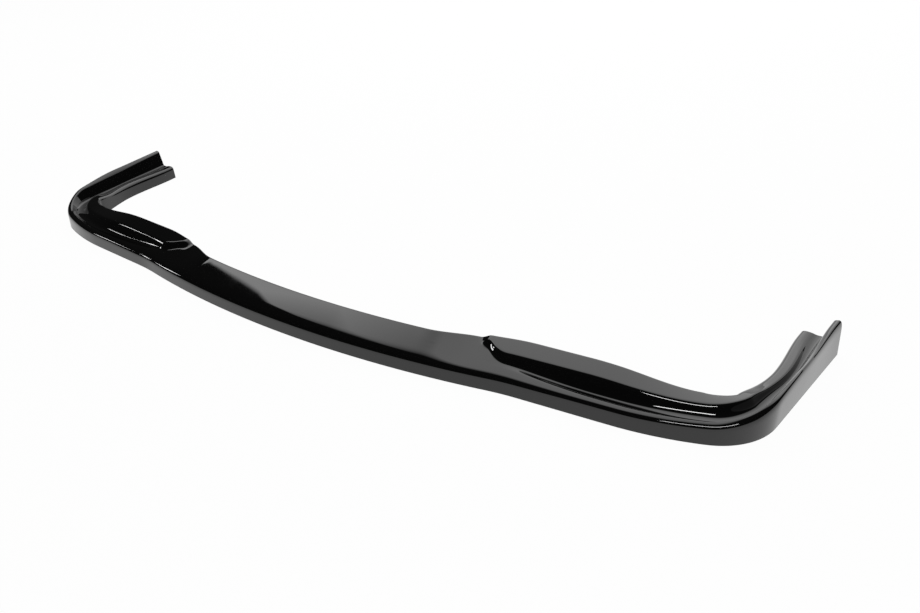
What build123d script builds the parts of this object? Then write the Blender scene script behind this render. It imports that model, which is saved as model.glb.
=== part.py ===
"""Front splitter lip for a car bumper.

One sheet of plastic, drawn over a U-shaped mould and trimmed at the floor line, so it is a thin shell,
open below and open at the two leg ends. Across the middle it is a plain bay that slopes up to its rear
edge. On each side a raised pad starts with a rounded end, a channel opens between the pad and the nose,
and both run round the corner into a leg, where the nose climbs into a tall ridge.

The section is drawn across the floor edge at stations along it, and ruled strips join its corners.
Lengths are in millimetres and angles in degrees. +X is to the right seen from ahead of the car's nose
looking back, -Y is ahead and +Z is up. The origin lies on the floor under the middle of the outline.
"""
from build123d import *

import os
from math import cos, hypot, radians, sin
from operator import mul

# Floor edge in plan, one half, from the middle outwards
BAY_RADIUS = 1925.0
BAY_TURN = 11.25
WAIST_RADIUS = 457.0
RUN_HEADING = 4.9
RUN_LENGTH = 143.0
SHOULDER_RADIUS = 519.0
SHOULDER_HEADING = 19.8
CORNER_RADIUS = 118.0
LEG_HEADING = 79.5
LEG_LENGTH = 252.0

# Sheet and the easing of its bends
WALL = 4.0
NOSE_ROUNDING = 10.0
NOSE_ROLL_LEG = 24.0
RIDGE_ROUNDING = 4.0
CHANNEL_ROUNDING = 5.0
PAD_EDGE_ROUNDING = 6.0
REAR_ROUNDING = 5.0
REAR_ROUNDING_LEG = 11.0
REAR_DRAFT = 3.0

# Nose: where the front wall would meet the nose's top
NOSE_HEIGHT = 26.5
NOSE_HEIGHT_SHOULDER = 29.5
NOSE_HEIGHT_CORNER = 38.5
NOSE_HEIGHT_LEG = 53.5
NOSE_HEIGHT_END = 64.0
NOSE_INSET = 1.0
NOSE_INSET_LEG = 1.5
NOSE_INSET_END = 6.0

# Bay: the plain middle, and the dip where it meets the pad
BAY_LENGTH = 255.0
BAY_DEPTH = 61.5
BAY_REAR_HEIGHT = 49.0
NOTCH_LENGTH = 20.0
NOTCH_DEPTH = 79.0
NOTCH_HEIGHT = 44.2

# Ridge and channel between the nose and the pad
RIDGE_INSET_BAY = 26.0
RIDGE_INSET_START = 24.0
RIDGE_WIDTH = 14.0
RIDGE_WIDTH_LEG = 11.0
RIDGE_WIDTH_END = 18.0
RIDGE_RISE = 2.5
RIDGE_RISE_LEG = -12.0
RIDGE_RISE_END = -4.0
RIDGE_BACK_RUN = 7.0
RIDGE_BACK_RUN_LEG = 9.0
CHANNEL_INSET_BAY = 34.0
CHANNEL_GROWTH = 120.0
CHANNEL_LEVEL = 23.5
CHANNEL_LEVEL_END = 25.5

# Pad: its rounded inner end, front edge, top and rear edge
PAD_START = 366.0
PAD_START_EASING = 6.0
PAD_NOSE = 34.0
PAD_START_DEPTH = 79.0
PAD_START_LEDGE = 9.0
PAD_DEPTH = 82.5
PAD_FRONT = 43.5
PAD_WALL_RUN = 10.5
LEG_WALL_RUN = 6.0
PAD_FLAT_LENGTH = 120.0
PAD_HEIGHT = 51.0
PAD_TILT = 0.143

# Shoulder, corner and leg: the pad narrows and sinks into the leg's shelf
SHOULDER_DEPTH = 74.0
SHOULDER_SHELF_HEIGHT = 37.2
CORNER_DEPTH = 70.5
CORNER_SHELF_HEIGHT = 36.0
LEG_ROOT_WIDTH = 63.0
LEG_SINK = 55.0
LEG_WAIST = 100.0
LEG_WAIST_WIDTH = 48.5
LEG_END_WIDTH = 61.0
LEG_SUNK_HEIGHT = 29.0
LEG_SHELF_HEIGHT = 28.3
LEG_SHELF_TILT = -0.1
LEG_SHELF_TILT_END = 0.05
LEG_SHELF_FRONT_ROOT = 41.0
LEG_SHELF_FRONT = 30.0
LEG_SHELF_FRONT_END = 44.0

# Share of a straight stretch that the easing of its two ends may use up
EASING_SHARE = 0.95

# Narrow flats that make up each bend of the sheet, on its outer and its inner skin
OUTER_FLATS = (4, 2, 2, 2, 2, 2)
INNER_FLATS = (2, 1, 1, 1, 1, 1)

# Distances between the sections that carry the shape, and how many of them one strip of skin runs through
WIDEST_SPACING = 60.0
PAD_SPACING = 7.0
CORNER_SPACING = 18.0
SPACING_GROWTH = 0.35
SECTIONS_PER_STRIP = 5
FLOOR_TOLERANCE = 0.001


def floor_edge():
    """The right half of the floor edge, and the lengths along it at which its stretches end."""
    bay = JernArc((0, 0), (1, 0), BAY_RADIUS, BAY_TURN)
    waist = JernArc(bay @ 1, bay % 1, WAIST_RADIUS, RUN_HEADING - BAY_TURN)
    run = Line(waist @ 1, waist @ 1 + (waist % 1) * RUN_LENGTH)
    shoulder = JernArc(run @ 1, run % 1, SHOULDER_RADIUS, SHOULDER_HEADING - RUN_HEADING)
    corner = JernArc(shoulder @ 1, shoulder % 1, CORNER_RADIUS, LEG_HEADING - SHOULDER_HEADING)
    leg = Line(corner @ 1, corner @ 1 + (corner % 1) * LEG_LENGTH)
    stretches = [bay, waist, run, shoulder, corner, leg]
    ends = [sum(part.length for part in stretches[: count + 1]) for count in range(len(stretches))]
    return Wire(stretches), ends


EDGE, (BAY_END, WAIST_END, RUN_END, SHOULDER_END, CORNER_END, LEG_END) = floor_edge()
HALF_DEPTH = (EDGE @ 1).Y / 2
NOTCH = PAD_START - NOTCH_LENGTH
PAD_FULL = PAD_START + PAD_NOSE
PAD_FLAT_END = PAD_FULL + PAD_FLAT_LENGTH
CHANNEL_FULL = WAIST_END + CHANNEL_GROWTH
CORNER_MIDDLE = (SHOULDER_END + CORNER_END) / 2
LEG_SUNK = CORNER_END + LEG_SINK
LEG_NARROW = CORNER_END + LEG_WAIST


def along(station, *keys):
    """Smooth value at a station through (station, value) keys, with no overshoot between them."""
    places = [place for place, value in keys]
    values = [value for place, value in keys]
    if station <= places[0]:
        return values[0]
    if station >= places[-1]:
        return values[-1]
    gaps = [b - a for a, b in zip(places, places[1:])]
    rises = [(b - a) / gap for a, b, gap in zip(values, values[1:], gaps)]
    slopes = [0.0]
    for before, after in zip(rises, rises[1:]):
        slopes.append(2 * before * after / (before + after) if before * after > 0 else 0.0)
    slopes.append(0.0)
    span = max(index for index, place in enumerate(places[:-1]) if place <= station)
    t = (station - places[span]) / gaps[span]
    bend = slopes[span] * (1 - t) - slopes[span + 1] * t
    start = values[span] * (1 + 2 * t) * (1 - t) ** 2
    end = values[span + 1] * (3 - 2 * t) * t**2
    return start + end + gaps[span] * t * (1 - t) * bend


def nose_corner(s):
    """Where the front wall meets the nose's top."""
    inset = along(s, (RUN_END, NOSE_INSET), (LEG_NARROW, NOSE_INSET_LEG), (LEG_END, NOSE_INSET_END))
    height = along(
        s,
        (RUN_END, NOSE_HEIGHT),
        (SHOULDER_END, NOSE_HEIGHT_SHOULDER),
        (CORNER_MIDDLE, NOSE_HEIGHT_CORNER),
        (CORNER_END, NOSE_HEIGHT_LEG),
        (LEG_NARROW, NOSE_HEIGHT_END),
    )
    return inset, height


def rear_corner(s):
    """Rear edge of the bay and the pad, then the inner edge of the leg."""
    inset = along(
        s,
        (BAY_LENGTH, BAY_DEPTH),
        (NOTCH, NOTCH_DEPTH),
        (PAD_START, PAD_START_DEPTH),
        (WAIST_END, PAD_DEPTH),
        (RUN_END, PAD_DEPTH),
        (SHOULDER_END, SHOULDER_DEPTH),
        (CORNER_MIDDLE, CORNER_DEPTH),
        (CORNER_END, LEG_ROOT_WIDTH),
        (LEG_NARROW, LEG_WAIST_WIDTH),
        (LEG_END, LEG_END_WIDTH),
    )
    height = along(
        s,
        (BAY_LENGTH, BAY_REAR_HEIGHT),
        (NOTCH, NOTCH_HEIGHT),
        (PAD_START, PAD_HEIGHT),
        (PAD_FLAT_END, PAD_HEIGHT),
        (SHOULDER_END, SHOULDER_SHELF_HEIGHT),
        (CORNER_END, CORNER_SHELF_HEIGHT),
        (LEG_SUNK, LEG_SUNK_HEIGHT),
        (LEG_NARROW, LEG_SHELF_HEIGHT),
    )
    return inset, height


def section_corners(s):
    """Corners of the outer skin's section at station s, as (inset from the floor edge, height)."""
    nose_d, nose_z = nose_corner(s)
    rear_d, rear_z = rear_corner(s)
    bay_d, bay_z = rear_corner(min(s, NOTCH))

    def on_slope(inset):
        """Height of the bay's plain slope at an inset."""
        return nose_z + (bay_z - nose_z) * (inset - nose_d) / (bay_d - nose_d)

    # The pad's front edge sweeps from its rear corner round to the front, as half of a parabola
    past_start = (s - PAD_START + hypot(s - PAD_START, PAD_START_EASING)) / 2
    sweep = (1 - min(1.0, past_start / PAD_NOSE)) ** 2
    shelf_front = along(
        s,
        (CORNER_MIDDLE, PAD_FRONT),
        (CORNER_END, LEG_SHELF_FRONT_ROOT),
        (LEG_NARROW, LEG_SHELF_FRONT),
        (LEG_END, LEG_SHELF_FRONT_END),
    )
    edge_d = shelf_front + (rear_d - PAD_START_LEDGE - shelf_front) * sweep
    bay_tilt = (bay_z - nose_z) / (bay_d - nose_d)
    tilt = along(
        s,
        (NOTCH, bay_tilt),
        (PAD_START, PAD_TILT),
        (PAD_FLAT_END, PAD_TILT),
        (CORNER_END, LEG_SHELF_TILT),
        (LEG_NARROW, LEG_SHELF_TILT),
        (LEG_END, LEG_SHELF_TILT_END),
    )
    edge_z = rear_z - tilt * (rear_d - edge_d)

    wall_run = along(s, (SHOULDER_END, PAD_WALL_RUN), (CORNER_END, LEG_WALL_RUN))
    foot_d = edge_d - wall_run
    foot_z = along(
        s,
        (PAD_START, on_slope(foot_d)),
        (CHANNEL_FULL, CHANNEL_LEVEL),
        (LEG_END, CHANNEL_LEVEL_END),
    )
    ridge_d = along(
        s,
        (BAY_LENGTH, RIDGE_INSET_BAY),
        (BAY_END, RIDGE_INSET_START),
        (CHANNEL_FULL, RIDGE_WIDTH),
        (CORNER_END, RIDGE_WIDTH_LEG),
        (LEG_NARROW, RIDGE_WIDTH_LEG),
        (LEG_END, RIDGE_WIDTH_END),
    )
    rise = along(s, (CORNER_MIDDLE, RIDGE_RISE), (LEG_NARROW, RIDGE_RISE_LEG), (LEG_END, RIDGE_RISE_END))
    ridge_z = along(s, (PAD_START, on_slope(ridge_d)), (CHANNEL_FULL, nose_z + rise))
    back_run = along(s, (SHOULDER_END, RIDGE_BACK_RUN), (CORNER_END, RIDGE_BACK_RUN_LEG))
    channel_d = along(s, (BAY_LENGTH, CHANNEL_INSET_BAY), (BAY_END, ridge_d + back_run))
    channel_z = along(
        s,
        (PAD_START, on_slope(channel_d)),
        (CHANNEL_FULL, CHANNEL_LEVEL),
        (LEG_END, CHANNEL_LEVEL_END),
    )
    return [
        (0.0, 0.0),
        (nose_d, nose_z),
        (ridge_d, ridge_z),
        (channel_d, channel_z),
        (foot_d, foot_z),
        (edge_d, edge_z),
        (rear_d, rear_z),
        (rear_d + REAR_DRAFT, 0.0),
    ]


def roundings(s):
    """How far the easing of each corner at station s reaches back and on along the section."""
    nose_roll = along(s, (SHOULDER_END, NOSE_ROUNDING), (LEG_NARROW, NOSE_ROLL_LEG))
    rear = along(s, (SHOULDER_END, REAR_ROUNDING), (LEG_NARROW, REAR_ROUNDING_LEG))
    even = [RIDGE_ROUNDING, CHANNEL_ROUNDING, CHANNEL_ROUNDING, PAD_EDGE_ROUNDING, rear, 0.0]
    return [(0.0, 0.0), (nose_roll, NOSE_ROUNDING), *((cut, cut) for cut in even)]


def distance(a, b):
    """Distance between two points of a section."""
    return hypot(b[0] - a[0], b[1] - a[1])


def towards(a, b, length):
    """The point that lies the given length from a on the way to b."""
    share = length / distance(a, b)
    return (a[0] + (b[0] - a[0]) * share, a[1] + (b[1] - a[1]) * share)


def inner_corners(corners):
    """The same section one wall further in, with both feet still on the floor."""
    normals = []
    for a, b in zip(corners, corners[1:]):
        length = distance(a, b)
        normals.append(((b[1] - a[1]) / length, (a[0] - b[0]) / length))
    inner = [(corners[0][0] + WALL / normals[0][0], 0.0)]
    for corner, n, m in zip(corners[1:-1], normals, normals[1:]):
        reach = WALL / (1 + n[0] * m[0] + n[1] * m[1])
        inner.append((corner[0] + reach * (n[0] + m[0]), corner[1] + reach * (n[1] + m[1])))
    inner.append((corners[-1][0] + WALL / normals[-1][0], 0.0))
    return inner


def bend(start, corner, end, flats):
    """Points of a bend that leaves its start towards the corner and comes to its end from the corner."""
    points = []
    for step in range(flats + 1):
        t = step / flats
        start_share = (1 + t) * (1 - t) ** 3
        end_share = (2 - t) * t**3
        shares = (start_share, 1 - start_share - end_share, end_share)
        points.append(tuple(sum(map(mul, shares, axis)) for axis in zip(start, corner, end)))
    return points


def eased(corners, cuts, flats):
    """Points of an open line through the corners, with each corner between its ends eased into a bend."""
    fits = []
    for a, b, (_, before), (after, _) in zip(corners, corners[1:], cuts, cuts[1:]):
        fits.append(min(1.0, EASING_SHARE * distance(a, b) / (before + after)))
    points = [corners[0]]
    for index, count in enumerate(flats, start=1):
        before, corner, after = corners[index - 1 : index + 2]
        start = towards(corner, before, cuts[index][0] * fits[index - 1])
        end = towards(corner, after, cuts[index][1] * fits[index])
        points += bend(start, corner, end, count)
    return [*points, corners[-1]]


def section(station):
    """Closed section of the sheet at a station, as points. Negative stations lie on the other half."""
    side = -1 if station < 0 else 1
    s = abs(station)
    spot = EDGE.position_at(s, position_mode=PositionMode.LENGTH)
    tangent = EDGE.tangent_at(s, position_mode=PositionMode.LENGTH)
    # The sections fan a little faster than the edge turns, so that the leg is cut off straight across
    heading = radians(Vector(1, 0, 0).get_angle(tangent) * 90 / LEG_HEADING)
    outer = section_corners(s)
    cuts = roundings(s)
    line = eased(outer, cuts, OUTER_FLATS) + eased(inner_corners(outer), cuts, INNER_FLATS)[::-1]
    return [
        Vector(side * (spot.X - sin(heading) * inset), spot.Y + cos(heading) * inset - HALF_DEPTH, height)
        for inset, height in line
    ]


def spacing(s):
    """Distance between sections: short at the pad's end and round the corner, growing evenly away from them."""
    past_pad = max(0.0, NOTCH - s, s - PAD_FULL)
    past_corner = max(0.0, SHOULDER_END - s, s - CORNER_END)
    return min(
        WIDEST_SPACING,
        PAD_SPACING + SPACING_GROWTH * past_pad,
        CORNER_SPACING + SPACING_GROWTH * past_corner,
    )


def stations():
    """Places of the sections along the whole edge, from the end of one leg to the end of the other."""
    half = [0.0]
    while half[-1] < LEG_END:
        half.append(half[-1] + spacing(half[-1]))
    half = [s * LEG_END / half[-1] for s in half]
    return [-s for s in reversed(half[1:])] + half


PLACES = stations()
SECTIONS = [section(place) for place in PLACES]
LAST = len(PLACES) - 1


def rail(index, start, end):
    """Smooth edge along the sheet, through one point of each section from one section to another."""
    points = [points[index] for points in SECTIONS[start : end + 1]]
    span = PLACES[end] - PLACES[start]
    shares = [(place - PLACES[start]) / span for place in PLACES[start : end + 1]]
    slopes = []
    for place in (start, end):
        before, after = max(place - 1, 0), min(place + 1, LAST)
        step = SECTIONS[after][index] - SECTIONS[before][index]
        slopes.append(step * (span / (PLACES[after] - PLACES[before])))
    return Edge.make_spline(points, tangents=slopes, parameters=shares, scale=False)


def strips(start, end):
    """Narrow faces along the sheet between neighbouring rails, right round its section."""
    rails = [rail(index, start, end) for index in range(len(SECTIONS[0]))]
    faces = []
    for one, other in zip(rails, rails[1:] + rails[:1]):
        ends = [Line(one @ 0, other @ 0), Line(one @ 1, other @ 1)]
        on_floor = max(edge.bounding_box().max.Z for edge in (one, other)) < FLOOR_TOLERANCE
        if on_floor:
            faces.append(Face(Wire([one, other, *ends])))
        else:
            faces.append(Face.make_surface_from_curves(one, other))
    return faces


SEAMS = [*range(0, LAST, SECTIONS_PER_STRIP), LAST]
SKIN = [face for start, end in zip(SEAMS, SEAMS[1:]) for face in strips(start, end)]
LEG_CUTS = [Face(Wire.make_polygon(SECTIONS[end], close=True)) for end in (0, LAST)]
lip_shell = Solid(Shell([*SKIN, *LEG_CUTS]))
os.makedirs("parts", exist_ok=True)
export_step(lip_shell, "parts/lip_shell.step")
print("lip_shell", lip_shell.bounding_box().size, "volume", round(lip_shell.volume), "valid", lip_shell.is_valid)
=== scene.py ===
# %% [markdown]
# # Front splitter lip
#
# A lip like this is fitted under a car's front bumper. It is one sheet of gloss black plastic, heated,
# sucked down over a U-shaped mould and trimmed along the floor line. This lesson rebuilds it as one
# piece: first the line on the floor that the lip follows, then the section that changes along that
# line, then the skin that is stretched over the sections, and at the end the gloss finish, the light
# and the camera.

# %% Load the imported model
from math import cos, hypot, pi, radians, sin

import bpy
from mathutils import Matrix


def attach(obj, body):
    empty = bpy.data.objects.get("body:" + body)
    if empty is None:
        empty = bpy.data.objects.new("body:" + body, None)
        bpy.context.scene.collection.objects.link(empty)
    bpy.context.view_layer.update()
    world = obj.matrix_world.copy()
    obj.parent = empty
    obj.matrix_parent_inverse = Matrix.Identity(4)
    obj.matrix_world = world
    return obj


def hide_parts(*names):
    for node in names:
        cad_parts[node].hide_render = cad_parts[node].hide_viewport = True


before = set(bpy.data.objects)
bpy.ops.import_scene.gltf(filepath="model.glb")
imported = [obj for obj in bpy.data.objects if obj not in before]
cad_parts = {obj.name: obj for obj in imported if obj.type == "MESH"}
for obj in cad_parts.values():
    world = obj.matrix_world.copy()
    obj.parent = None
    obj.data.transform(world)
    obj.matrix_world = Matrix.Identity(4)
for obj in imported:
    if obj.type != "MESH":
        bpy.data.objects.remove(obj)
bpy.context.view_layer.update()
MM = 0.001

# %% [markdown]
# ## The floor edge
#
# Seen from above, the front of the lip is a shallow bay, a waist that turns back a little, a straight
# run, a soft shoulder, a tight corner and a leg. Each stretch is an arc or a straight line, so a length
# and a heading at its end are all it takes. A drawn Bezier curve would also do, but its curvature
# drifts, and a gloss black surface shows that at once. Sizes are in millimetres, as on the drawing of
# the solid, and one half is enough because the lip is the same on both sides.

# %% Plan of one half, from the middle outwards
BAY_RADIUS, BAY_HEADING = 1925.0, 11.25
WAIST_RADIUS, RUN_HEADING = 457.0, 4.9
RUN_LENGTH = 143.0
SHOULDER_RADIUS, SHOULDER_HEADING = 519.0, 19.8
CORNER_RADIUS, LEG_HEADING = 118.0, 79.5
LEG_LENGTH = 252.0


def arc_length(radius, heading, next_heading):
    """Length of the arc that turns from one heading to the next, in degrees."""
    return radius * abs(radians(next_heading - heading))


STRETCHES = (
    (arc_length(BAY_RADIUS, 0.0, BAY_HEADING), BAY_HEADING),
    (arc_length(WAIST_RADIUS, BAY_HEADING, RUN_HEADING), RUN_HEADING),
    (RUN_LENGTH, RUN_HEADING),
    (arc_length(SHOULDER_RADIUS, RUN_HEADING, SHOULDER_HEADING), SHOULDER_HEADING),
    (arc_length(CORNER_RADIUS, SHOULDER_HEADING, LEG_HEADING), LEG_HEADING),
    (LEG_LENGTH, LEG_HEADING),
)


def floor_edge(s):
    """Place and heading (x, y, degrees) at a length s along the floor edge from the middle."""
    x = y = heading = 0.0
    for length, end_heading in STRETCHES:
        step = min(s, length)
        turn = radians(end_heading - heading) * step / length
        start = radians(heading)
        # A chord of an arc points halfway between the headings at its ends
        chord = step * (sin(turn / 2) / (turn / 2) if turn else 1.0)
        x += chord * cos(start + turn / 2)
        y += chord * sin(start + turn / 2)
        heading += (end_heading - heading) * step / length
        s -= step
        if s <= 0:
            break
    return x, y, heading


ends = [sum(length for length, heading in STRETCHES[: count + 1]) for count in range(len(STRETCHES))]
BAY_END, WAIST_END, RUN_END, SHOULDER_END, CORNER_END, LEG_END = ends
HALF_DEPTH = floor_edge(LEG_END)[1] / 2
print("floor edge of one half:", round(LEG_END), "mm long,", round(2 * HALF_DEPTH), "mm deep")

# %% [markdown]
# ## Values that change along the edge
#
# Nothing on this lip starts with a hard line: the pad sinks, the channel deepens and the nose climbs
# over some distance. Each of those is a few keys, a place along the edge and a value there. A plain
# spline through the keys would swing past them, so the slope at a key is the harmonic mean of the
# slopes on both sides, which never does.


# %% Smooth values between keys
def along(s, *keys):
    """Smooth value at s through (place, value) keys, with no overshoot between them."""
    places = [place for place, value in keys]
    values = [value for place, value in keys]
    if s <= places[0]:
        return values[0]
    if s >= places[-1]:
        return values[-1]
    gaps = [b - a for a, b in zip(places, places[1:])]
    rises = [(b - a) / gap for a, b, gap in zip(values, values[1:], gaps)]
    slopes = [0.0]
    for before, after in zip(rises, rises[1:]):
        slopes.append(2 * before * after / (before + after) if before * after > 0 else 0.0)
    slopes.append(0.0)
    span = max(index for index, place in enumerate(places[:-1]) if place <= s)
    t = (s - places[span]) / gaps[span]
    bend_share = slopes[span] * (1 - t) - slopes[span + 1] * t
    start = values[span] * (1 + 2 * t) * (1 - t) ** 2
    end = values[span + 1] * (3 - 2 * t) * t**2
    return start + end + gaps[span] * t * (1 - t) * bend_share


# %% [markdown]
# ## The nose and the rear edge
#
# The nose is where the upright front wall turns over into the top. It is low in the middle and climbs
# into a tall ridge on the legs. The rear edge is the other end of the section: the back of the bay and
# the pads, then the inner edge of the legs. Both are given as an inset from the floor edge and a
# height.

# %% Nose and rear edge
NOSE_INSET, NOSE_INSET_LEG, NOSE_INSET_END = 1.0, 1.5, 6.0
NOSE_HEIGHT, NOSE_HEIGHT_SHOULDER, NOSE_HEIGHT_CORNER = 26.5, 29.5, 38.5
NOSE_HEIGHT_LEG, NOSE_HEIGHT_END = 53.5, 64.0
BAY_LENGTH, BAY_DEPTH, BAY_REAR_HEIGHT = 255.0, 61.5, 49.0
NOTCH_LENGTH, NOTCH_DEPTH, NOTCH_HEIGHT = 20.0, 79.0, 44.2
PAD_START, PAD_START_DEPTH, PAD_DEPTH, PAD_HEIGHT = 366.0, 79.0, 82.5, 51.0
PAD_NOSE, PAD_FLAT_LENGTH = 34.0, 120.0
SHOULDER_DEPTH, SHOULDER_SHELF_HEIGHT = 74.0, 37.2
CORNER_DEPTH, CORNER_SHELF_HEIGHT = 70.5, 36.0
LEG_ROOT_WIDTH, LEG_WAIST_WIDTH, LEG_END_WIDTH = 63.0, 48.5, 61.0
LEG_SINK, LEG_WAIST = 55.0, 100.0
LEG_SUNK_HEIGHT, LEG_SHELF_HEIGHT = 29.0, 28.3

NOTCH = PAD_START - NOTCH_LENGTH
PAD_FLAT_END = PAD_START + PAD_NOSE + PAD_FLAT_LENGTH
CORNER_MIDDLE = (SHOULDER_END + CORNER_END) / 2
LEG_SUNK = CORNER_END + LEG_SINK
LEG_NARROW = CORNER_END + LEG_WAIST


def nose_corner(s):
    """Where the front wall would meet the nose's top, as (inset, height)."""
    inset = along(s, (RUN_END, NOSE_INSET), (LEG_NARROW, NOSE_INSET_LEG), (LEG_END, NOSE_INSET_END))
    height = along(
        s,
        (RUN_END, NOSE_HEIGHT),
        (SHOULDER_END, NOSE_HEIGHT_SHOULDER),
        (CORNER_MIDDLE, NOSE_HEIGHT_CORNER),
        (CORNER_END, NOSE_HEIGHT_LEG),
        (LEG_NARROW, NOSE_HEIGHT_END),
    )
    return inset, height


def rear_corner(s):
    """Rear edge of the bay and the pad, then the inner edge of the leg, as (inset, height)."""
    inset = along(
        s,
        (BAY_LENGTH, BAY_DEPTH),
        (NOTCH, NOTCH_DEPTH),
        (PAD_START, PAD_START_DEPTH),
        (WAIST_END, PAD_DEPTH),
        (RUN_END, PAD_DEPTH),
        (SHOULDER_END, SHOULDER_DEPTH),
        (CORNER_MIDDLE, CORNER_DEPTH),
        (CORNER_END, LEG_ROOT_WIDTH),
        (LEG_NARROW, LEG_WAIST_WIDTH),
        (LEG_END, LEG_END_WIDTH),
    )
    height = along(
        s,
        (BAY_LENGTH, BAY_REAR_HEIGHT),
        (NOTCH, NOTCH_HEIGHT),
        (PAD_START, PAD_HEIGHT),
        (PAD_FLAT_END, PAD_HEIGHT),
        (SHOULDER_END, SHOULDER_SHELF_HEIGHT),
        (CORNER_END, CORNER_SHELF_HEIGHT),
        (LEG_SUNK, LEG_SUNK_HEIGHT),
        (LEG_NARROW, LEG_SHELF_HEIGHT),
    )
    return inset, height


print("rear edge in the middle and at a leg's end:", rear_corner(0.0), rear_corner(LEG_END))

# %% [markdown]
# ## The pad, the channel and the ridge
#
# On each side a raised pad begins with a rounded end like a bullet's. Its front edge sweeps from the
# rear to the front as half of a parabola. In front of the pad a channel opens, and what is left of the
# nose becomes a narrow ridge. In the bay there is no pad, and there the same corners simply lie on the
# plain slope.

# %% The eight corners of a section
RIDGE_INSET_BAY, RIDGE_INSET_START = 26.0, 24.0
RIDGE_WIDTH, RIDGE_WIDTH_LEG, RIDGE_WIDTH_END = 14.0, 11.0, 18.0
RIDGE_RISE, RIDGE_RISE_LEG, RIDGE_RISE_END = 2.5, -12.0, -4.0
RIDGE_BACK_RUN, RIDGE_BACK_RUN_LEG = 7.0, 9.0
CHANNEL_INSET_BAY, CHANNEL_GROWTH = 34.0, 120.0
CHANNEL_LEVEL, CHANNEL_LEVEL_END = 23.5, 25.5
PAD_START_EASING, PAD_START_LEDGE = 6.0, 9.0
PAD_FRONT, PAD_TILT, PAD_WALL_RUN, LEG_WALL_RUN = 43.5, 0.143, 10.5, 6.0
LEG_SHELF_FRONT_ROOT, LEG_SHELF_FRONT, LEG_SHELF_FRONT_END = 41.0, 30.0, 44.0
LEG_SHELF_TILT, LEG_SHELF_TILT_END = -0.1, 0.05
REAR_DRAFT = 3.0
CHANNEL_FULL = WAIST_END + CHANNEL_GROWTH


def section_corners(s):
    """Corners of the outer skin at s, as (inset, height), from the front foot over to the rear foot."""
    nose_d, nose_z = nose_corner(s)
    rear_d, rear_z = rear_corner(s)
    bay_d, bay_z = rear_corner(min(s, NOTCH))
    bay_tilt = (bay_z - nose_z) / (bay_d - nose_d)

    def on_slope(inset):
        """Height of the bay's plain slope at an inset."""
        return nose_z + bay_tilt * (inset - nose_d)

    past_start = (s - PAD_START + hypot(s - PAD_START, PAD_START_EASING)) / 2
    sweep = (1 - min(1.0, past_start / PAD_NOSE)) ** 2
    shelf_front = along(
        s,
        (CORNER_MIDDLE, PAD_FRONT),
        (CORNER_END, LEG_SHELF_FRONT_ROOT),
        (LEG_NARROW, LEG_SHELF_FRONT),
        (LEG_END, LEG_SHELF_FRONT_END),
    )
    edge_d = shelf_front + (rear_d - PAD_START_LEDGE - shelf_front) * sweep
    tilt = along(
        s,
        (NOTCH, bay_tilt),
        (PAD_START, PAD_TILT),
        (PAD_FLAT_END, PAD_TILT),
        (CORNER_END, LEG_SHELF_TILT),
        (LEG_NARROW, LEG_SHELF_TILT),
        (LEG_END, LEG_SHELF_TILT_END),
    )
    edge_z = rear_z - tilt * (rear_d - edge_d)

    def channel_floor(inset):
        """Height of the channel's floor at an inset: on the slope at first, then level."""
        keys = (PAD_START, on_slope(inset)), (CHANNEL_FULL, CHANNEL_LEVEL), (LEG_END, CHANNEL_LEVEL_END)
        return along(s, *keys)

    foot_d = edge_d - along(s, (SHOULDER_END, PAD_WALL_RUN), (CORNER_END, LEG_WALL_RUN))
    ridge_d = along(
        s,
        (BAY_LENGTH, RIDGE_INSET_BAY),
        (BAY_END, RIDGE_INSET_START),
        (CHANNEL_FULL, RIDGE_WIDTH),
        (CORNER_END, RIDGE_WIDTH_LEG),
        (LEG_NARROW, RIDGE_WIDTH_LEG),
        (LEG_END, RIDGE_WIDTH_END),
    )
    rise = along(s, (CORNER_MIDDLE, RIDGE_RISE), (LEG_NARROW, RIDGE_RISE_LEG), (LEG_END, RIDGE_RISE_END))
    ridge_z = along(s, (PAD_START, on_slope(ridge_d)), (CHANNEL_FULL, nose_z + rise))
    back_run = along(s, (SHOULDER_END, RIDGE_BACK_RUN), (CORNER_END, RIDGE_BACK_RUN_LEG))
    channel_d = along(s, (BAY_LENGTH, CHANNEL_INSET_BAY), (BAY_END, ridge_d + back_run))
    return [
        (0.0, 0.0),
        (nose_d, nose_z),
        (ridge_d, ridge_z),
        (channel_d, channel_floor(channel_d)),
        (foot_d, channel_floor(foot_d)),
        (edge_d, edge_z),
        (rear_d, rear_z),
        (rear_d + REAR_DRAFT, 0.0),
    ]


pad_section = [(round(d, 1), round(z, 1)) for d, z in section_corners(RUN_END)]
print("corners of a section through the pad:", pad_section)

# %% [markdown]
# ## One sheet, with soft bends
#
# The sheet is 4 mm thick, so its inner skin is the same line one wall further in, with both feet on the
# floor. A warm sheet can't take a sharp corner, so every corner is eased into a bend. A round arc would
# do, but where an arc meets a flat the mirrored light jumps. These bends start and end with no
# curvature at all, so highlights run through without a step.

# %% Section of the sheet
WALL = 4.0
NOSE_BEND, NOSE_ROLL_BAY, NOSE_ROLL_LEG, RIDGE_BEND = 10.0, 22.0, 24.0, 4.0
CHANNEL_BEND, FOOT_BEND, PAD_EDGE_BEND, REAR_BEND, REAR_BEND_LEG = 5.0, 8.0, 6.0, 5.0, 11.0
BEND_STEPS = (10, 6, 6, 6, 8, 8)
BEND_SHARE = 0.95  # how much of a short flat the bends at its two ends may use up


def towards(a, b, length):
    """The point that lies the given length from a on the way to b."""
    share = length / hypot(b[0] - a[0], b[1] - a[1])
    return a[0] + (b[0] - a[0]) * share, a[1] + (b[1] - a[1]) * share


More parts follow.
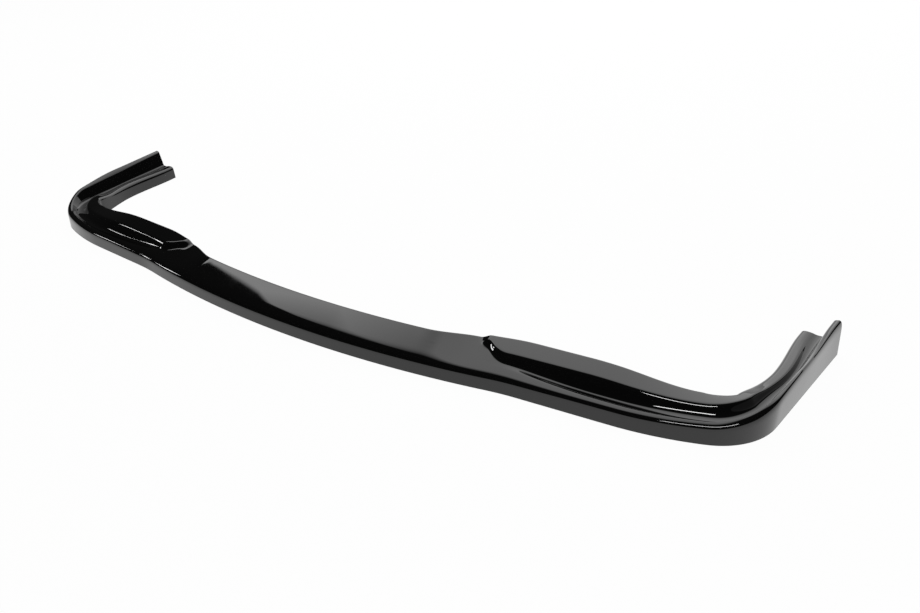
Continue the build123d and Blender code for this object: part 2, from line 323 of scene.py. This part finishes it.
def inner_corners(corners):
    """The same corners one wall further in, with both feet still on the floor."""
    normals = []
    for (a_d, a_z), (b_d, b_z) in zip(corners, corners[1:]):
        length = hypot(b_d - a_d, b_z - a_z)
        normals.append(((b_z - a_z) / length, (a_d - b_d) / length))
    inner = [(corners[0][0] + WALL / normals[0][0], 0.0)]
    for (d, z), n, m in zip(corners[1:-1], normals, normals[1:]):
        reach = WALL / (1 + n[0] * m[0] + n[1] * m[1])
        inner.append((d + reach * (n[0] + m[0]), z + reach * (n[1] + m[1])))
    inner.append((corners[-1][0] + WALL / normals[-1][0], 0.0))
    return inner


def bend(start, corner, end, steps):
    """Points of a bend whose curvature starts and ends at nothing."""
    points = []
    for step in range(steps + 1):
        t = step / steps
        a = (1 + t) * (1 - t) ** 3
        c = (2 - t) * t**3
        points.append(tuple(a * p + (1 - a - c) * q + c * r for p, q, r in zip(start, corner, end)))
    return points


def bend_reaches(s):
    """How far the bend of each corner at s reaches back and on along the section."""
    nose_front = along(s, (SHOULDER_END, NOSE_BEND), (LEG_NARROW, NOSE_ROLL_LEG))
    nose_top = along(s, (PAD_START, NOSE_ROLL_BAY), (CHANNEL_FULL, NOSE_BEND))
    rear = along(s, (SHOULDER_END, REAR_BEND), (LEG_NARROW, REAR_BEND_LEG))
    even = [RIDGE_BEND, CHANNEL_BEND, FOOT_BEND, PAD_EDGE_BEND, rear, 0.0]
    return [(0.0, 0.0), (nose_front, nose_top), *((reach, reach) for reach in even)]


def skin_line(corners, reaches):
    """Points along one skin of the sheet, with each corner between its feet eased into a bend."""
    fits = []
    for (a_d, a_z), (b_d, b_z), (_, before), (after, _) in zip(corners, corners[1:], reaches, reaches[1:]):
        fits.append(min(1.0, BEND_SHARE * hypot(b_d - a_d, b_z - a_z) / (before + after)))
    points = [corners[0]]
    for index, steps in enumerate(BEND_STEPS, start=1):
        before, corner, after = corners[index - 1 : index + 2]
        start = towards(corner, before, reaches[index][0] * fits[index - 1])
        end = towards(corner, after, reaches[index][1] * fits[index])
        points += bend(start, corner, end, steps)
    return [*points, corners[-1]]


def section(place):
    """Points right round the sheet in metres, the outer skin and then the inner one back to the front."""
    side = -1 if place < 0 else 1
    x, y, heading = floor_edge(abs(place))
    # The sections fan a little faster than the edge turns, so that a leg is cut off straight across
    fan = radians(heading * 90.0 / LEG_HEADING)
    corners = section_corners(abs(place))
    reaches = bend_reaches(abs(place))
    line = skin_line(corners, reaches) + skin_line(inner_corners(corners), reaches)[::-1]
    return [
        (side * (x - sin(fan) * d) * MM, (y + cos(fan) * d - HALF_DEPTH) * MM, z * MM)
        for d, z in line
    ]


print("points round the sheet:", len(section(0.0)))

# %% [markdown]
# ## Rails along the lip
#
# The sections stand close together where the shape changes fast, at the pad's rounded end and round the
# corner, and far apart elsewhere. The first point of all sections makes one rail, the second point the
# next rail, and so on: a curve object with one spline for each point of the section.

# %% Rails
WIDEST_SPACING, PAD_SPACING, CORNER_SPACING, SPACING_GROWTH = 30.0, 4.0, 9.0, 0.2


def section_places():
    """Places of the sections along the whole edge, from one leg's end to the other's."""
    half = [0.0]
    while half[-1] < LEG_END:
        s = half[-1]
        past_pad = max(0.0, NOTCH - s, s - PAD_START - PAD_NOSE)
        past_corner = max(0.0, SHOULDER_END - s, s - CORNER_END)
        near_pad = PAD_SPACING + SPACING_GROWTH * past_pad
        near_corner = CORNER_SPACING + SPACING_GROWTH * past_corner
        half.append(s + min(WIDEST_SPACING, near_pad, near_corner))
    half = [s * LEG_END / half[-1] for s in half]
    return [-s for s in reversed(half[1:])] + half


sections = [section(place) for place in section_places()]
rail_curve = bpy.data.curves.new("lip_rails", "CURVE")
rail_curve.dimensions = "3D"
for rail_points in zip(*sections):
    spline = rail_curve.splines.new("POLY")
    spline.points.add(len(rail_points) - 1)
    spline.points.foreach_set("co", [value for point in rail_points for value in (*point, 1.0)])
rails = bpy.data.objects.new("lip_rails", rail_curve)
bpy.context.collection.objects.link(rails)
print("rails:", len(rail_curve.splines), "through", len(sections), "sections")

# %% [markdown]
# ## One helper for nodes
#
# Materials and Geometry Nodes trees are both made of nodes. This one function adds a node, sets its
# options and fills its inputs, and that keeps the trees below short enough to read.


# %% Add a node
def add_node(tree, kind, inputs=None, **settings):
    """A new node: settings are its options, and inputs hold a link or a value for each socket."""
    node = tree.nodes.new(kind)
    for name, value in settings.items():
        setattr(node, name, value)
    for name, value in (inputs or {}).items():
        if isinstance(value, bpy.types.NodeSocket):
            tree.links.new(value, node.inputs[name])
        else:
            node.inputs[name].default_value = value
    return node


def linear(hex_colour):
    """sRGB hex colour as the linear RGBA that shader sockets take."""
    channels = [int(hex_colour[index : index + 2], 16) / 255 for index in (1, 3, 5)]
    return (*[c / 12.92 if c <= 0.04045 else ((c + 0.055) / 1.055) ** 2.4 for c in channels], 1.0)


# %% [markdown]
# ## Gloss black ABS
#
# The sheet is ABS with a gloss cap layer, black right through. Drawing it over the mould leaves a
# mirror that is not quite flat: a slow swell where the sheet cooled unevenly, and a faint orange peel
# of a few millimetres. Handling adds patches of slightly duller gloss. Along the floor and at the leg
# ends the sheet was sawn and scraped, so that rim is matte and a little greyer. A colour alone would
# look like painted card: on a black mirror nearly everything that shows is reflection, so the work goes
# into roughness and bump.

# %% Gloss black ABS sheet
ABS_IOR = 1.54
SWELL_SIZE, SWELL_HEIGHT = 70.0 * MM, 0.03 * MM
# Real peel is near 2 mm, drawn coarser so that it shows at all
PEEL_SIZE, PEEL_HEIGHT = 5.0 * MM, 0.0008 * MM
HAZE_SIZE, HAZE_FROM, HAZE_TO = 45.0 * MM, 0.35, 0.75
GLOSS_ROUGHNESS, HAZE_ROUGHNESS, SAWN_ROUGHNESS = 0.02, 0.045, 0.6
SAWN_HEIGHT, SAWN_DEPTH = 0.8, 0.2
ABS_BLACK, SAWN_GREY = "#080808", "#1e1e1e"

abs_sheet = bpy.data.materials.new("gloss_black_abs_sheet")
abs_sheet.use_nodes = True
tree = abs_sheet.node_tree
tree.nodes.clear()
place = add_node(tree, "ShaderNodeTexCoord").outputs["Object"]
axes = add_node(tree, "ShaderNodeSeparateXYZ", {"Vector": place})
haze = add_node(tree, "ShaderNodeTexNoise", {"Vector": place, "Scale": 1 / HAZE_SIZE, "Detail": 4.0})
swell = add_node(tree, "ShaderNodeTexNoise", {"Vector": place, "Scale": 1 / SWELL_SIZE, "Detail": 0.0})
peel = add_node(tree, "ShaderNodeTexNoise", {"Vector": place, "Scale": 1 / PEEL_SIZE, "Detail": 1.0})
swell_bump = add_node(tree, "ShaderNodeBump", {"Height": swell.outputs["Fac"], "Distance": SWELL_HEIGHT})
peel_bump = add_node(
    tree,
    "ShaderNodeBump",
    {"Height": peel.outputs["Fac"], "Distance": PEEL_HEIGHT, "Normal": swell_bump.outputs["Normal"]},
)
at_floor = add_node(
    tree,
    "ShaderNodeMath",
    {0: axes.outputs["Z"], 1: SAWN_HEIGHT * MM},
    operation="LESS_THAN",
)
at_leg_end = add_node(
    tree,
    "ShaderNodeMath",
    {0: axes.outputs["Y"], 1: (HALF_DEPTH - SAWN_DEPTH) * MM},
    operation="GREATER_THAN",
)
sawn = add_node(
    tree, "ShaderNodeMath", {0: at_floor.outputs[0], 1: at_leg_end.outputs[0]}, operation="MAXIMUM"
)
gloss = add_node(
    tree,
    "ShaderNodeMapRange",
    {
        "Value": haze.outputs["Fac"],
        "From Min": HAZE_FROM,
        "From Max": HAZE_TO,
        "To Min": GLOSS_ROUGHNESS,
        "To Max": HAZE_ROUGHNESS,
    },
)
roughness = add_node(
    tree,
    "ShaderNodeMix",
    {"Factor": sawn.outputs[0], "A": gloss.outputs["Result"], "B": SAWN_ROUGHNESS},
    data_type="FLOAT",
)
colour = add_node(
    tree,
    "ShaderNodeMix",
    {"Factor": sawn.outputs[0], 6: linear(ABS_BLACK), 7: linear(SAWN_GREY)},
    data_type="RGBA",
)
surface = add_node(
    tree,
    "ShaderNodeBsdfPrincipled",
    {
        "Base Color": colour.outputs[2],
        "Roughness": roughness.outputs["Result"],
        "IOR": ABS_IOR,
        "Normal": peel_bump.outputs["Normal"],
    },
)
add_node(tree, "ShaderNodeOutputMaterial", {"Surface": surface.outputs["BSDF"]})
print("material:", abs_sheet.name, "with", len(tree.nodes), "nodes")

# %% [markdown]
# ## Stretching the skin
#
# The lip's skin follows one rule from end to end, so a Geometry Nodes tree makes it. The rails become
# smooth splines, a grid with one column for each rail takes its points from them, and the last column
# lands on the first, which closes the sheet. Two narrow grids close the sawn leg ends. A loft tool
# would hide all that, and plain mesh code would need its own spline maths.

# %% Tree that stretches a skin over rails
skin_tree = bpy.data.node_groups.new("Skin over rails", "GeometryNodeTree")
sockets = {
    name: skin_tree.interface.new_socket(name, in_out="INPUT", socket_type=kind)
    for name, kind in (
        ("Rails", "NodeSocketGeometry"),
        ("Steps between sections", "NodeSocketInt"),
        ("Crease angle", "NodeSocketFloat"),
        ("Weld distance", "NodeSocketFloat"),
        ("Finish", "NodeSocketMaterial"),
    )
}
skin_tree.interface.new_socket("Skin", in_out="OUTPUT", socket_type="NodeSocketGeometry")
given = add_node(skin_tree, "NodeGroupInput").outputs
smooth = add_node(
    skin_tree, "GeometryNodeCurveSplineType", {"Curve": given["Rails"]}, spline_type="CATMULL_ROM"
)
stepped = add_node(
    skin_tree,
    "GeometryNodeSetSplineResolution",
    {"Geometry": smooth.outputs[0], "Resolution": given["Steps between sections"]},
)
resampled = add_node(
    skin_tree, "GeometryNodeResampleCurve", {"Curve": stepped.outputs[0]}, mode="EVALUATED"
)
fine_rails = resampled.outputs[0]
counts = add_node(skin_tree, "GeometryNodeAttributeDomainSize", {"Geometry": fine_rails}, component="CURVE")
rail_count = counts.outputs["Spline Count"]
index = add_node(skin_tree, "GeometryNodeInputIndex").outputs[0]
position = add_node(skin_tree, "GeometryNodeInputPosition").outputs[0]


def whole(operation, *values):
    """Whole-number sum in the skin tree."""
    inputs = dict(enumerate(values))
    return add_node(skin_tree, "FunctionNodeIntegerMath", inputs, operation=operation).outputs[0]


def grid_on_rails(rows, columns, rail, row):
    """Grid whose points lie on the rails, at the rail and row that are given for each point."""
    grid = add_node(skin_tree, "GeometryNodeMeshGrid", {"Vertices X": rows, "Vertices Y": columns})
    point = whole("MULTIPLY_ADD", rail, row_count, row)
    spot = add_node(
        skin_tree,
        "GeometryNodeSampleIndex",
        {"Geometry": fine_rails, "Value": position, "Index": point},
        data_type="FLOAT_VECTOR",
    )
    moved = {"Geometry": grid.outputs["Mesh"], "Position": spot.outputs[0]}
    return add_node(skin_tree, "GeometryNodeSetPosition", moved).outputs[0]


row_count = whole("DIVIDE", counts.outputs["Point Count"], rail_count)
columns = whole("ADD", rail_count, 1)
sheet = grid_on_rails(
    row_count,
    columns,
    whole("MODULO", whole("MODULO", index, columns), rail_count),
    whole("DIVIDE_FLOOR", index, columns),
)
# Across a leg's end, outer point i faces inner point (count - 1 - i)
across = whole("DIVIDE_FLOOR", index, 2)
inner_side = whole("MODULO", index, 2)
opposite = whole("SUBTRACT", whole("SUBTRACT", rail_count, 1), whole("MULTIPLY", across, 2))
end_rail = whole("MULTIPLY_ADD", inner_side, opposite, across)
skin_width = whole("DIVIDE", rail_count, 2)
left_end = grid_on_rails(skin_width, 2, end_rail, 0)
right_end = grid_on_rails(skin_width, 2, end_rail, whole("SUBTRACT", row_count, 1))
turned_end = add_node(skin_tree, "GeometryNodeFlipFaces", {"Mesh": right_end}).outputs[0]
joined = add_node(skin_tree, "GeometryNodeJoinGeometry")
for part in (sheet, left_end, turned_end):
    skin_tree.links.new(part, joined.inputs[0])
welded = add_node(
    skin_tree,
    "GeometryNodeMergeByDistance",
    {"Geometry": joined.outputs[0], "Distance": given["Weld distance"]},
)
shaded = add_node(skin_tree, "GeometryNodeSetShadeSmooth", {"Geometry": welded.outputs[0]}, domain="FACE")
angle = add_node(skin_tree, "GeometryNodeInputMeshEdgeAngle").outputs["Unsigned Angle"]
sharp = add_node(
    skin_tree, "FunctionNodeCompare", {"A": angle, "B": given["Crease angle"]}, operation="GREATER_THAN"
)
creased = add_node(
    skin_tree,
    "GeometryNodeSetShadeSmooth",
    {"Geometry": shaded.outputs[0], "Selection": sharp.outputs[0], "Shade Smooth": False},
    domain="EDGE",
)
real = add_node(skin_tree, "GeometryNodeRealizeInstances", {"Geometry": creased.outputs[0]})
finished = add_node(
    skin_tree, "GeometryNodeSetMaterial", {"Geometry": real.outputs[0], "Material": given["Finish"]}
)
add_node(skin_tree, "NodeGroupOutput", {"Skin": finished.outputs[0]})
print("skin tree:", len(skin_tree.nodes), "nodes")

# %% [markdown]
# ## The finished piece
#
# The modifier's inputs are set before anything is evaluated, and then the result is kept as a plain
# mesh. The signed volume is a quick test of the sheet: it is positive only if every face points
# outwards, and it should be close to the solid's.

# %% Make the lip
STEPS_BETWEEN_SECTIONS = 4
CREASE_ANGLE = radians(40.0)
WELD_DISTANCE = 0.005 * MM

stretch = rails.modifiers.new("Skin over rails", "NODES")
stretch.node_group = skin_tree
for name, value in (
    ("Steps between sections", STEPS_BETWEEN_SECTIONS),
    ("Crease angle", CREASE_ANGLE),
    ("Weld distance", WELD_DISTANCE),
    ("Finish", abs_sheet),
):
    stretch[sockets[name].identifier] = value
evaluated = rails.evaluated_get(bpy.context.evaluated_depsgraph_get())
lip_mesh = bpy.data.meshes.new_from_object(evaluated)
lip_mesh.name = "lip_shell_skin"
lip = bpy.data.objects.new("lip_shell_skin", lip_mesh)
bpy.context.collection.objects.link(lip)
bpy.data.objects.remove(rails)
bpy.data.curves.remove(rail_curve)

lip_mesh.calc_loop_triangles()
corners = [vertex.co for vertex in lip_mesh.vertices]
triangles = [[corners[index] for index in triangle.vertices] for triangle in lip_mesh.loop_triangles]
volume = sum(a.dot(b.cross(c)) for a, b, c in triangles) / 6
print("lip:", len(triangles), "triangles, sheet volume", round(volume / MM**3), "cubic mm")

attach(lip, "root")
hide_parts("lip_shell")

# %% [markdown]
# ## Floor and backdrop
#
# The lip lies on a sweep of white paper, which also goes up behind it as far as the diffuser, so that
# the rounded rear edges mirror white there. The camera and the lip's own mirror see the paper as plain
# white, and a share of ordinary diffuse white stays in the mix, so that the soft shadow close to the
# lip is kept.

# %% White paper
WHITE_SHARE = 0.97
PAPER_WHITE, PURE_WHITE = "#f4f4f4", "#ffffff"

paper = bpy.data.materials.new("white_paper_sweep")
paper.use_nodes = True
tree = paper.node_tree
tree.nodes.clear()
light_path = add_node(tree, "ShaderNodeLightPath").outputs
seen = light_path["Is Camera Ray"]
for ray in ("Is Glossy Ray", "Is Transmission Ray"):
    seen = add_node(tree, "ShaderNodeMath", {0: seen, 1: light_path[ray]}, operation="MAXIMUM").outputs[0]
share = add_node(tree, "ShaderNodeMath", {0: seen, 1: WHITE_SHARE}, operation="MULTIPLY")
diffuse = add_node(tree, "ShaderNodeBsdfDiffuse", {"Color": linear(PAPER_WHITE)})
white = add_node(tree, "ShaderNodeEmission", {"Color": linear(PURE_WHITE), "Strength": 1.0})
mixed = add_node(
    tree,
    "ShaderNodeMixShader",
    {0: share.outputs[0], 1: diffuse.outputs["BSDF"], 2: white.outputs["Emission"]},
)
add_node(tree, "ShaderNodeOutputMaterial", {"Surface": mixed.outputs["Shader"]})
print("paper:", paper.name)

# %% Floor and backdrop, in metres
FLOOR_SIZE = 16.0
BACKDROP_LEFT, BACKDROP_RIGHT = -6.0, 1.5
DIFFUSER_LEVEL = 2.5

bpy.ops.mesh.primitive_plane_add(size=FLOOR_SIZE)
floor = bpy.context.object
floor.name = "white_floor"
backdrop_mesh = bpy.data.meshes.new("white_backdrop")
backdrop_outline = (
    (BACKDROP_LEFT, 0.0),
    (BACKDROP_RIGHT, 0.0),
    (BACKDROP_RIGHT, DIFFUSER_LEVEL),
    (BACKDROP_LEFT, DIFFUSER_LEVEL),
)
backdrop_mesh.from_pydata([(x, FLOOR_SIZE / 2, z) for x, z in backdrop_outline], [], [(0, 1, 2, 3)])
backdrop = bpy.data.objects.new("white_backdrop", backdrop_mesh)
bpy.context.collection.objects.link(backdrop)
for paper_piece in (floor, backdrop):
    paper_piece.data.materials.append(paper)
print("floor and backdrop:", floor.name, backdrop.name)

# %% [markdown]
# ## Light
#
# A black mirror is lit by what it sees. Behind and above the lip hangs one wide sheet of diffuser,
# whose front edge stops over the lip: the slope of the bay and the pads mirror it as grey, while the
# nose and the channel look past it into the dark room and stay black. On the left the edge is crisp and
# drawn back, which gives the bay its slanting shade. In the middle it fades slowly, which softens the
# dark band along the nose. On the right it runs back at a slant and is dimmer, which keeps light off
# the channel at the corner.

# %% Diffuser
# Columns across the sheet, from right to left: place, where the front edge is there, how far it fades,
# how bright the sheet is close behind it, and how bright further back
DIFFUSER_COLUMNS = (
    (2.9, 4.4, 0.3, 1.1, 1.1),
    (1.0, 1.0, 0.9, 1.5, 1.3),
    (0.4, 0.2, 0.6, 1.9, 1.9),
    (-0.8, -0.22, 0.60, 2.0, 1.9),
    (-1.6, 0.03, 0.33, 3.1, 1.9),
    (-2.4, 0.315, 0.03, 3.0, 1.8),
    (-3.5, 0.6, 0.02, 2.6, 1.8),
)
EDGE_SHARE, EDGE_REACH, SHEET_REAR = 0.04, 0.65, 8.7

points, glow = [], []
for x, front, fade, front_brightness, rear_brightness in DIFFUSER_COLUMNS:
    rows = (front, front + fade, front + fade + EDGE_REACH, SHEET_REAR)
    points += [(x, y, DIFFUSER_LEVEL) for y in rows]
    glow += [EDGE_SHARE * front_brightness, front_brightness, rear_brightness, rear_brightness]
starts = [
    len(rows) * column + row
    for column in range(len(DIFFUSER_COLUMNS) - 1)
    for row in range(len(rows) - 1)
]
faces = [(start, start + 1, start + 1 + len(rows), start + len(rows)) for start in starts]
diffuser_mesh = bpy.data.meshes.new("rear_diffuser")
diffuser_mesh.from_pydata(points, [], faces)
diffuser_mesh.attributes.new("glow", "FLOAT", "POINT").data.foreach_set("value", glow)
diffuser = bpy.data.objects.new("rear_diffuser", diffuser_mesh)
diffuser.visible_camera = False
bpy.context.collection.objects.link(diffuser)
silk = bpy.data.materials.new("lit_diffuser_silk")
silk.use_nodes = True
tree = silk.node_tree
tree.nodes.clear()
brightness = add_node(tree, "ShaderNodeAttribute", attribute_name="glow").outputs["Fac"]
lit = add_node(tree, "ShaderNodeEmission", {"Color": linear(PURE_WHITE), "Strength": brightness})
add_node(tree, "ShaderNodeOutputMaterial", {"Surface": lit.outputs["Emission"]})
diffuser_mesh.materials.append(silk)
print("diffuser:", len(faces), "panes")

# %% [markdown]
# Two small soft boxes, one over the camera and one on the left, draw the thin white lines along the
# bends. The room itself is dark to the lip's mirror, and white only to a camera that looks past the
# paper.

# %% Lamps and dark room
DARK_ROOM = 0.02


def soft_box(name, centre, size, aim, brightness):
    """Rectangular lamp at a place, facing another, whose face has the given brightness (1 is white)."""
    lamp = bpy.data.lights.new(name, "AREA")
    lamp.shape = "RECTANGLE"
    lamp.size, lamp.size_y = size
    lamp.energy = brightness * pi * size[0] * size[1]
    box = bpy.data.objects.new(name, lamp)
    box.location = centre
    facing = box.location.copy()
    facing.xyz = [a - c for a, c in zip(aim, centre)]
    box.rotation_euler = facing.to_track_quat("-Z", "Y").to_euler()
    box.visible_camera = False
    bpy.context.collection.objects.link(box)
    print("lamp:", name, "at", centre)


soft_box(
    "front_strip", centre=(1.43, -1.27, 2.15), size=(1.35, 0.25), aim=(0.65, -0.15, 0.05), brightness=25.0
)
soft_box(
    "left_box", centre=(-2.69, -0.93, 1.1), size=(0.16, 0.30), aim=(-0.6, -0.15, 0.05), brightness=15.0
)

world = bpy.data.worlds.new("dark_room")
bpy.context.scene.world = world
world.use_nodes = True
tree = world.node_tree
tree.nodes.clear()
to_camera = add_node(tree, "ShaderNodeLightPath").outputs["Is Camera Ray"]
level = add_node(tree, "ShaderNodeMapRange", {"Value": to_camera, "To Min": DARK_ROOM, "To Max": 1.0})
room = add_node(
    tree, "ShaderNodeBackground", {"Color": linear(PURE_WHITE), "Strength": level.outputs["Result"]}
)
add_node(tree, "ShaderNodeOutputWorld", {"Surface": room.outputs["Background"]})

# %% [markdown]
# ## Camera
#
# The photograph looks down from the front and the right at about 30 degrees, from about one and a half
# metres, with a fairly wide lens, which is why the near leg looks so much larger than the far one.

# %% Camera
SENSOR_WIDTH, LENS, FARTHEST_VIEW = 36.0, 29.74, 50.0
CAMERA_PLACE = (0.8312, -0.9985, 0.6935)
CAMERA_TILT, CAMERA_TURN = 59.90, 31.23

camera_data = bpy.data.cameras.new("photo_camera")
camera_data.sensor_fit = "HORIZONTAL"
camera_data.sensor_width = SENSOR_WIDTH
camera_data.lens = LENS
camera_data.clip_end = FARTHEST_VIEW
camera = bpy.data.objects.new("photo_camera", camera_data)
camera.location = CAMERA_PLACE
camera.rotation_euler = (radians(CAMERA_TILT), 0.0, radians(CAMERA_TURN))
bpy.context.collection.objects.link(camera)
bpy.context.scene.camera = camera
bpy.context.scene.view_settings.view_transform = "Standard"
print("camera at", tuple(round(value, 3) for value in camera.location))
